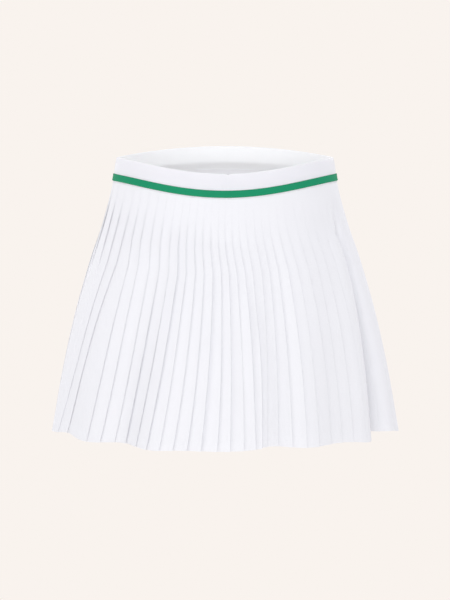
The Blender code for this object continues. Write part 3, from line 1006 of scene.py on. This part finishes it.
def fabric(name, color, roughness, sheen, height, bump, mottle, thin, thin_scale):
    """A Principled fabric. height(tree, u, v) gives its threads' relief, mottle is how
    far broad soft noise darkens it, and thin how much of the light goes through its
    fibres, over distances of about thin_scale."""
    made = bpy.data.materials.new(name)
    made.use_nodes = True
    tree = made.node_tree
    place_on = add(tree, "ShaderNodeUVMap", uv_map="cloth")
    split = add(tree, "ShaderNodeSeparateXYZ", {"Vector": place_on.outputs["UV"]})
    relief = height(tree, split.outputs["X"], split.outputs["Y"])
    where = add(tree, "ShaderNodeTexCoord").outputs["Object"]
    noise_settings = {"Vector": where, "Scale": MOTTLE_SCALE, "Detail": MOTTLE_DETAIL}
    noise = add(tree, "ShaderNodeTexNoise", noise_settings).outputs["Fac"]
    # The low parts of the weave are darkened: painted shade.
    painted_hollow_shade = fade(tree, relief, -1.0, 1.0, HOLLOW_SHADE)
    darker = maths(tree, "ADD", fade(tree, noise, *MOTTLE_RANGE, mottle), painted_hollow_shade)
    shader = color_and_bump(tree, color, FABRIC_DARK, darker, relief, bump)
    sockets = {
        "Roughness": roughness,
        "Sheen Weight": sheen,
        "Sheen Roughness": 0.4,
        "Specular IOR Level": 0.25,
        "Subsurface Weight": thin,
        "Subsurface Radius": (1.0, 1.0, 1.0),
        "Subsurface Scale": thin_scale,
    }
    for socket, value in sockets.items():
        shader.inputs[socket].default_value = value
    print(name, "has", len(tree.nodes), "nodes")
    return made


print("broad mottling is", round(1 / MOTTLE_SCALE, 3), "m across")

# %% [markdown]
# ## White pleated cloth
#
# The pleats are light polyester in a plain weave: one set of threads over and under the
# other, about 0.45 mm apart. A plain weave's relief is the product of one wave along the
# cloth and one across it, so that neighbours stand up by turns. The cloth is almost
# white, with a little blue in it, and its sheen is the soft light of fine fibres.

# %% Pleated cloth
WEAVE_PITCH = 0.00045
CLOTH_WHITE = (0.90, 0.905, 0.93)


def plain_weave(tree, u, v):
    """Sine of one thread set times sine of the other."""
    return maths(tree, "MULTIPLY", threads(tree, u, 2 * WEAVE_PITCH), threads(tree, v, 2 * WEAVE_PITCH))


white_cloth = fabric(
    "white_pleated_weave",
    CLOTH_WHITE,
    roughness=0.72,
    sheen=0.15,
    height=plain_weave,
    bump=0.25,
    mottle=0.02,
    thin=0.08,
    thin_scale=0.0005,
)

# %% [markdown]
# ## White waistband knit
#
# The band is a firm double knit. Close up it is columns of small V stitches, called
# wales. A column is drawn by shearing a wave by turns to the left and right: each half of
# a column's width leans the other way, which makes the V. The inner layer, which shows at
# the back through the open waist, is the same knit with a paler colour of its own. That
# paler colour is painted light, which brightens the band's inside.

# %% Waistband knit
WALE_PITCH = 0.0011
COURSE_PITCH = 0.0009
KNIT_SLANT = 0.9
COURSE_SHARE = 0.6
WALE_SHARE = 0.4


def knit(tree, u, v):
    """A wave down the cloth, put forward by a triangle wave across it, plus the wale's
    own round section."""
    across = maths(tree, "PINGPONG", u, WALE_PITCH / 2)
    slanted = maths(tree, "ADD", v, maths(tree, "MULTIPLY", across, KNIT_SLANT))
    course = threads(tree, slanted, COURSE_PITCH)
    wale = maths(tree, "COSINE", maths(tree, "MULTIPLY", u, 2 * pi / WALE_PITCH))
    return maths(tree, "MULTIPLY_ADD", course, COURSE_SHARE, maths(tree, "MULTIPLY", wale, -WALE_SHARE))


KNIT = dict(roughness=0.82, sheen=0.12, height=knit, bump=0.5, mottle=0.015, thin=1.0, thin_scale=0.003)
white_knit = fabric("white_double_knit", (0.825, 0.825, 0.85), **KNIT)
# The inside knit is paler than the outer one: painted light that brightens the band's inside.
knit_inside_painted_light = fabric("white_knit_inside_painted_light", (0.92, 0.94, 0.98), **KNIT)

# %% [markdown]
# ## Green ribbed tape
#
# The tape is woven with fine ribs across it, like grosgrain. Each rib is one rounded
# thread of the weft, so its relief is a single wave along the tape, broken a little by
# the warp threads that cross it.

# %% Tape
RIB_PITCH = 0.0008
WARP_PITCH = 0.0005
RIB_SHARE = 0.75
WARP_SHARE = 0.25


def ribs(tree, u, v):
    """A wave along the tape with a weak wave across it."""
    rib = maths(tree, "MULTIPLY", threads(tree, u, RIB_PITCH), RIB_SHARE)
    return maths(tree, "MULTIPLY_ADD", threads(tree, v, WARP_PITCH), WARP_SHARE, rib)


green_ribs = fabric(
    "green_ribbed_tape",
    (0.009, 0.300, 0.140),
    roughness=0.80,
    sheen=0.02,
    height=ribs,
    bump=0.6,
    mottle=0.10,
    thin=0.0,
    thin_scale=0.0005,
)

# %% [markdown]
# ## Thread
#
# Sewing thread is two plies twisted together. On a stitch of two millimetres the twist
# shows as a few slanted ridges, so the finish is a wave on the object's own coordinates
# and no map is needed. The wave bumps the thread and also darkens the grooves between
# the ridges, which is painted shade.

# %% Thread
PLY_PITCH = 0.0006
PLY_SHADE = 0.25
PLY_BUMP = 0.4
THREAD_DARK = 0.6


def thread(name, color):
    """A slightly shiny thread with the slanted twist of its two plies: a wave along the
    sum of two coordinates that bumps the thread and darkens its grooves as painted shade."""
    made = bpy.data.materials.new(name)
    made.use_nodes = True
    tree = made.node_tree
    where = add(tree, "ShaderNodeTexCoord").outputs["Object"]
    split = add(tree, "ShaderNodeSeparateXYZ", {"Vector": where})
    plies = threads(tree, maths(tree, "ADD", split.outputs["X"], split.outputs["Z"]), PLY_PITCH)
    # The grooves between the plies are darkened: painted shade.
    painted_ply_shade = fade(tree, plies, -1.0, 1.0, PLY_SHADE)
    shader = color_and_bump(tree, color, THREAD_DARK, painted_ply_shade, plies, PLY_BUMP)
    shader.inputs["Roughness"].default_value = 0.45
    print(name, "has", len(tree.nodes), "nodes")
    return made


white_thread = thread("white_thread", CLOTH_WHITE)
green_thread = thread("green_thread", (0.010, 0.31, 0.145))

# %% [markdown]
# ## Put the pieces on the imported skirt
#
# The imported solids stay in the scene and are hidden here. Each new piece gets its
# finish, hides the solid that it stands for and moves with the frame's root. The table
# also gives a material slot for each piece, which nothing here reads. The band's shell
# has the faces of its outer side first and those of its inner side next, so a count
# finds the ones that get the inner layer's finish.

# %% Finish, ride and replace
PIECES = (
    (band_front, "waistband_front", "white_waistband_knit", white_knit),
    (band_back, "waistband_back", "white_waistband_knit", white_knit),
    (tape_front, "stripe_front", "green_tape", green_ribs),
    (tape_back, "stripe_back", "green_tape", green_ribs),
    (pleated_front, "pleats_front", "white_pleated_cloth", white_cloth),
    (pleated_back, "pleats_back", "white_pleated_cloth", white_cloth),
)
for piece, node, slot, finish in PIECES:
    piece.data.materials.append(finish)
    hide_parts(node)
    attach(piece, "root")

# The band's inner faces get the paler knit, which paints light onto the inside.
for band in (band_front, band_back):
    band.data.materials.append(knit_inside_painted_light)
    faces = np.arange(len(band.data.polygons))
    towards_body = (faces >= band_side_faces) & (faces < 2 * band_side_faces)
    band.data.polygons.foreach_set("material_index", towards_body.astype(np.int32))

for name, stitches in stitched.items():
    on_tape = name.startswith("tape")
    stitches.data.materials.append(green_thread if on_tape else white_thread)
    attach(stitches, "root")
print(len(PIECES), "pieces and", len(stitched), "sets of stitches on the skirt")

# %% [markdown]
# ## The cloth in all
#
# The flat areas of the four sheets are added up: the two pleated panels and the two
# halves of the band. A pleated panel is cut as a tapered width, narrow at the waist and
# wide at the hem, so its area is worked out level by level.


print("four sheets, of", round(front_area + back_area + band_front_area + band_back_area, 3), "m2 in all")

# %% [markdown]
# ## A plain pale studio
#
# A worn skirt has nothing under it, so the floor lies far below and only gives the
# picture its cream ground. It glows by itself in that one colour. The sky shows the same
# cream to the camera and lights the cloth with a cooler white. A ring of five wide, soft
# lamps does the rest. One low in front and a weaker one at each side light the pleats.
# The left one is the brighter of these two, so each free edge, which points to the right,
# keeps its shade. Two higher ones behind light the inside, over the back rim and through
# the knit.

# %% Floor
CREAM = (0.947, 0.896, 0.855)
FLOOR_Z = -2.0
FLOOR_RADIUS = 1.5
FLOOR_CORNERS = 64

turn = np.linspace(0, 2 * pi, FLOOR_CORNERS, endpoint=False)
x, y = FLOOR_RADIUS * np.cos(turn), FLOOR_RADIUS * np.sin(turn)
rim = np.stack([x, y, np.full_like(turn, FLOOR_Z)], axis=1)
floor_mesh = bpy.data.meshes.new("floor")
floor_mesh.from_pydata(rim.tolist(), [], [list(range(FLOOR_CORNERS))])
floor = bpy.data.objects.new("floor", floor_mesh)
bpy.context.scene.collection.objects.link(floor)
floor_finish = bpy.data.materials.new("cream_floor")
floor_finish.use_nodes = True
floor_tree = floor_finish.node_tree
glow = add(floor_tree, "ShaderNodeEmission", {"Color": (*CREAM, 1.0), "Strength": 1.0})
floor_tree.links.new(glow.outputs["Emission"], floor_tree.nodes["Material Output"].inputs["Surface"])
floor_mesh.materials.append(floor_finish)
print("cream floor at", FLOOR_Z, "m")

# %% Sky
SKY_LIGHT = (0.975, 0.965, 1.0)
SKY_STRENGTH = 0.70
world = bpy.data.worlds.new("studio")
bpy.context.scene.world = world
world.use_nodes = True
sky = world.node_tree
for node in list(sky.nodes):
    sky.nodes.remove(node)
seen = add(sky, "ShaderNodeBackground", {"Color": (*CREAM, 1.0), "Strength": 1.0})
lights_up = add(sky, "ShaderNodeBackground", {"Color": (*SKY_LIGHT, 1.0), "Strength": SKY_STRENGTH})
ray = add(sky, "ShaderNodeLightPath")
either = add(
    sky,
    "ShaderNodeMixShader",
    {0: ray.outputs["Is Camera Ray"], 1: lights_up.outputs["Background"], 2: seen.outputs["Background"]},
)
add(sky, "ShaderNodeOutputWorld", {"Surface": either.outputs["Shader"]})
print("cream sky with a light of", SKY_STRENGTH)

# %% Lamps
LAMP_DISTANCE = 3.0
LAMP_SIZE = 1.4
Lamp = namedtuple("Lamp", "name bearing height_angle watts")
LAMPS = (
    Lamp(name="front_lamp", bearing=-3, height_angle=9, watts=26.0),
    Lamp(name="left_lamp", bearing=-62, height_angle=8, watts=11.0),
    Lamp(name="right_lamp", bearing=62, height_angle=8, watts=7.0),
    Lamp(name="back_left_lamp", bearing=-140, height_angle=30, watts=22.0),
    Lamp(name="back_right_lamp", bearing=140, height_angle=30, watts=26.0),
)
middle = Vector((0.0, 0.0, (BAND_TOP_Z + HEM_Z) / 2))

for row in LAMPS:
    light = bpy.data.lights.new(row.name, "AREA")
    light.shape, light.size, light.energy = "SQUARE", LAMP_SIZE, row.watts
    lamp = bpy.data.objects.new(row.name, light)
    turn, rise = radians(row.bearing), radians(row.height_angle)
    towards = Vector((sin(turn) * cos(rise), -cos(turn) * cos(rise), sin(rise)))
    lamp.location = middle + towards * LAMP_DISTANCE
    lamp.rotation_euler = (-towards).to_track_quat("-Z", "Y").to_euler()
    bpy.context.scene.collection.objects.link(lamp)
print(len(LAMPS), "soft lamps in a ring")

# %% [markdown]
# ## Camera
#
# The skirt is seen from straight ahead and a little above, with a long lens from a few
# steps away, so that both rims of the waist show as a narrow crescent.

# %% Camera
CAMERA_DISTANCE = 2.6
CAMERA_ELEVATION = radians(5.5)
SKIRT_MIDDLE_Z = -0.157
AIM_DROP = 0.006
FOCAL_PIXELS = 2080
IMAGE_HEIGHT = 600
SENSOR = 36.0

camera_data = bpy.data.cameras.new("camera")
camera_data.sensor_width = SENSOR
camera_data.lens = FOCAL_PIXELS * SENSOR / IMAGE_HEIGHT
camera = bpy.data.objects.new("camera", camera_data)
back, up = CAMERA_DISTANCE * cos(CAMERA_ELEVATION), CAMERA_DISTANCE * sin(CAMERA_ELEVATION)
eye = Vector((0, -back, SKIRT_MIDDLE_Z + up))
aim = Vector((0, 0, SKIRT_MIDDLE_Z - AIM_DROP))
camera.location = eye
camera.rotation_euler = (aim - eye).to_track_quat("-Z", "Y").to_euler()
bpy.context.scene.collection.objects.link(camera)
bpy.context.scene.camera = camera
bpy.context.scene.view_settings.view_transform = "Standard"
print("lens", round(camera_data.lens, 1), "mm")
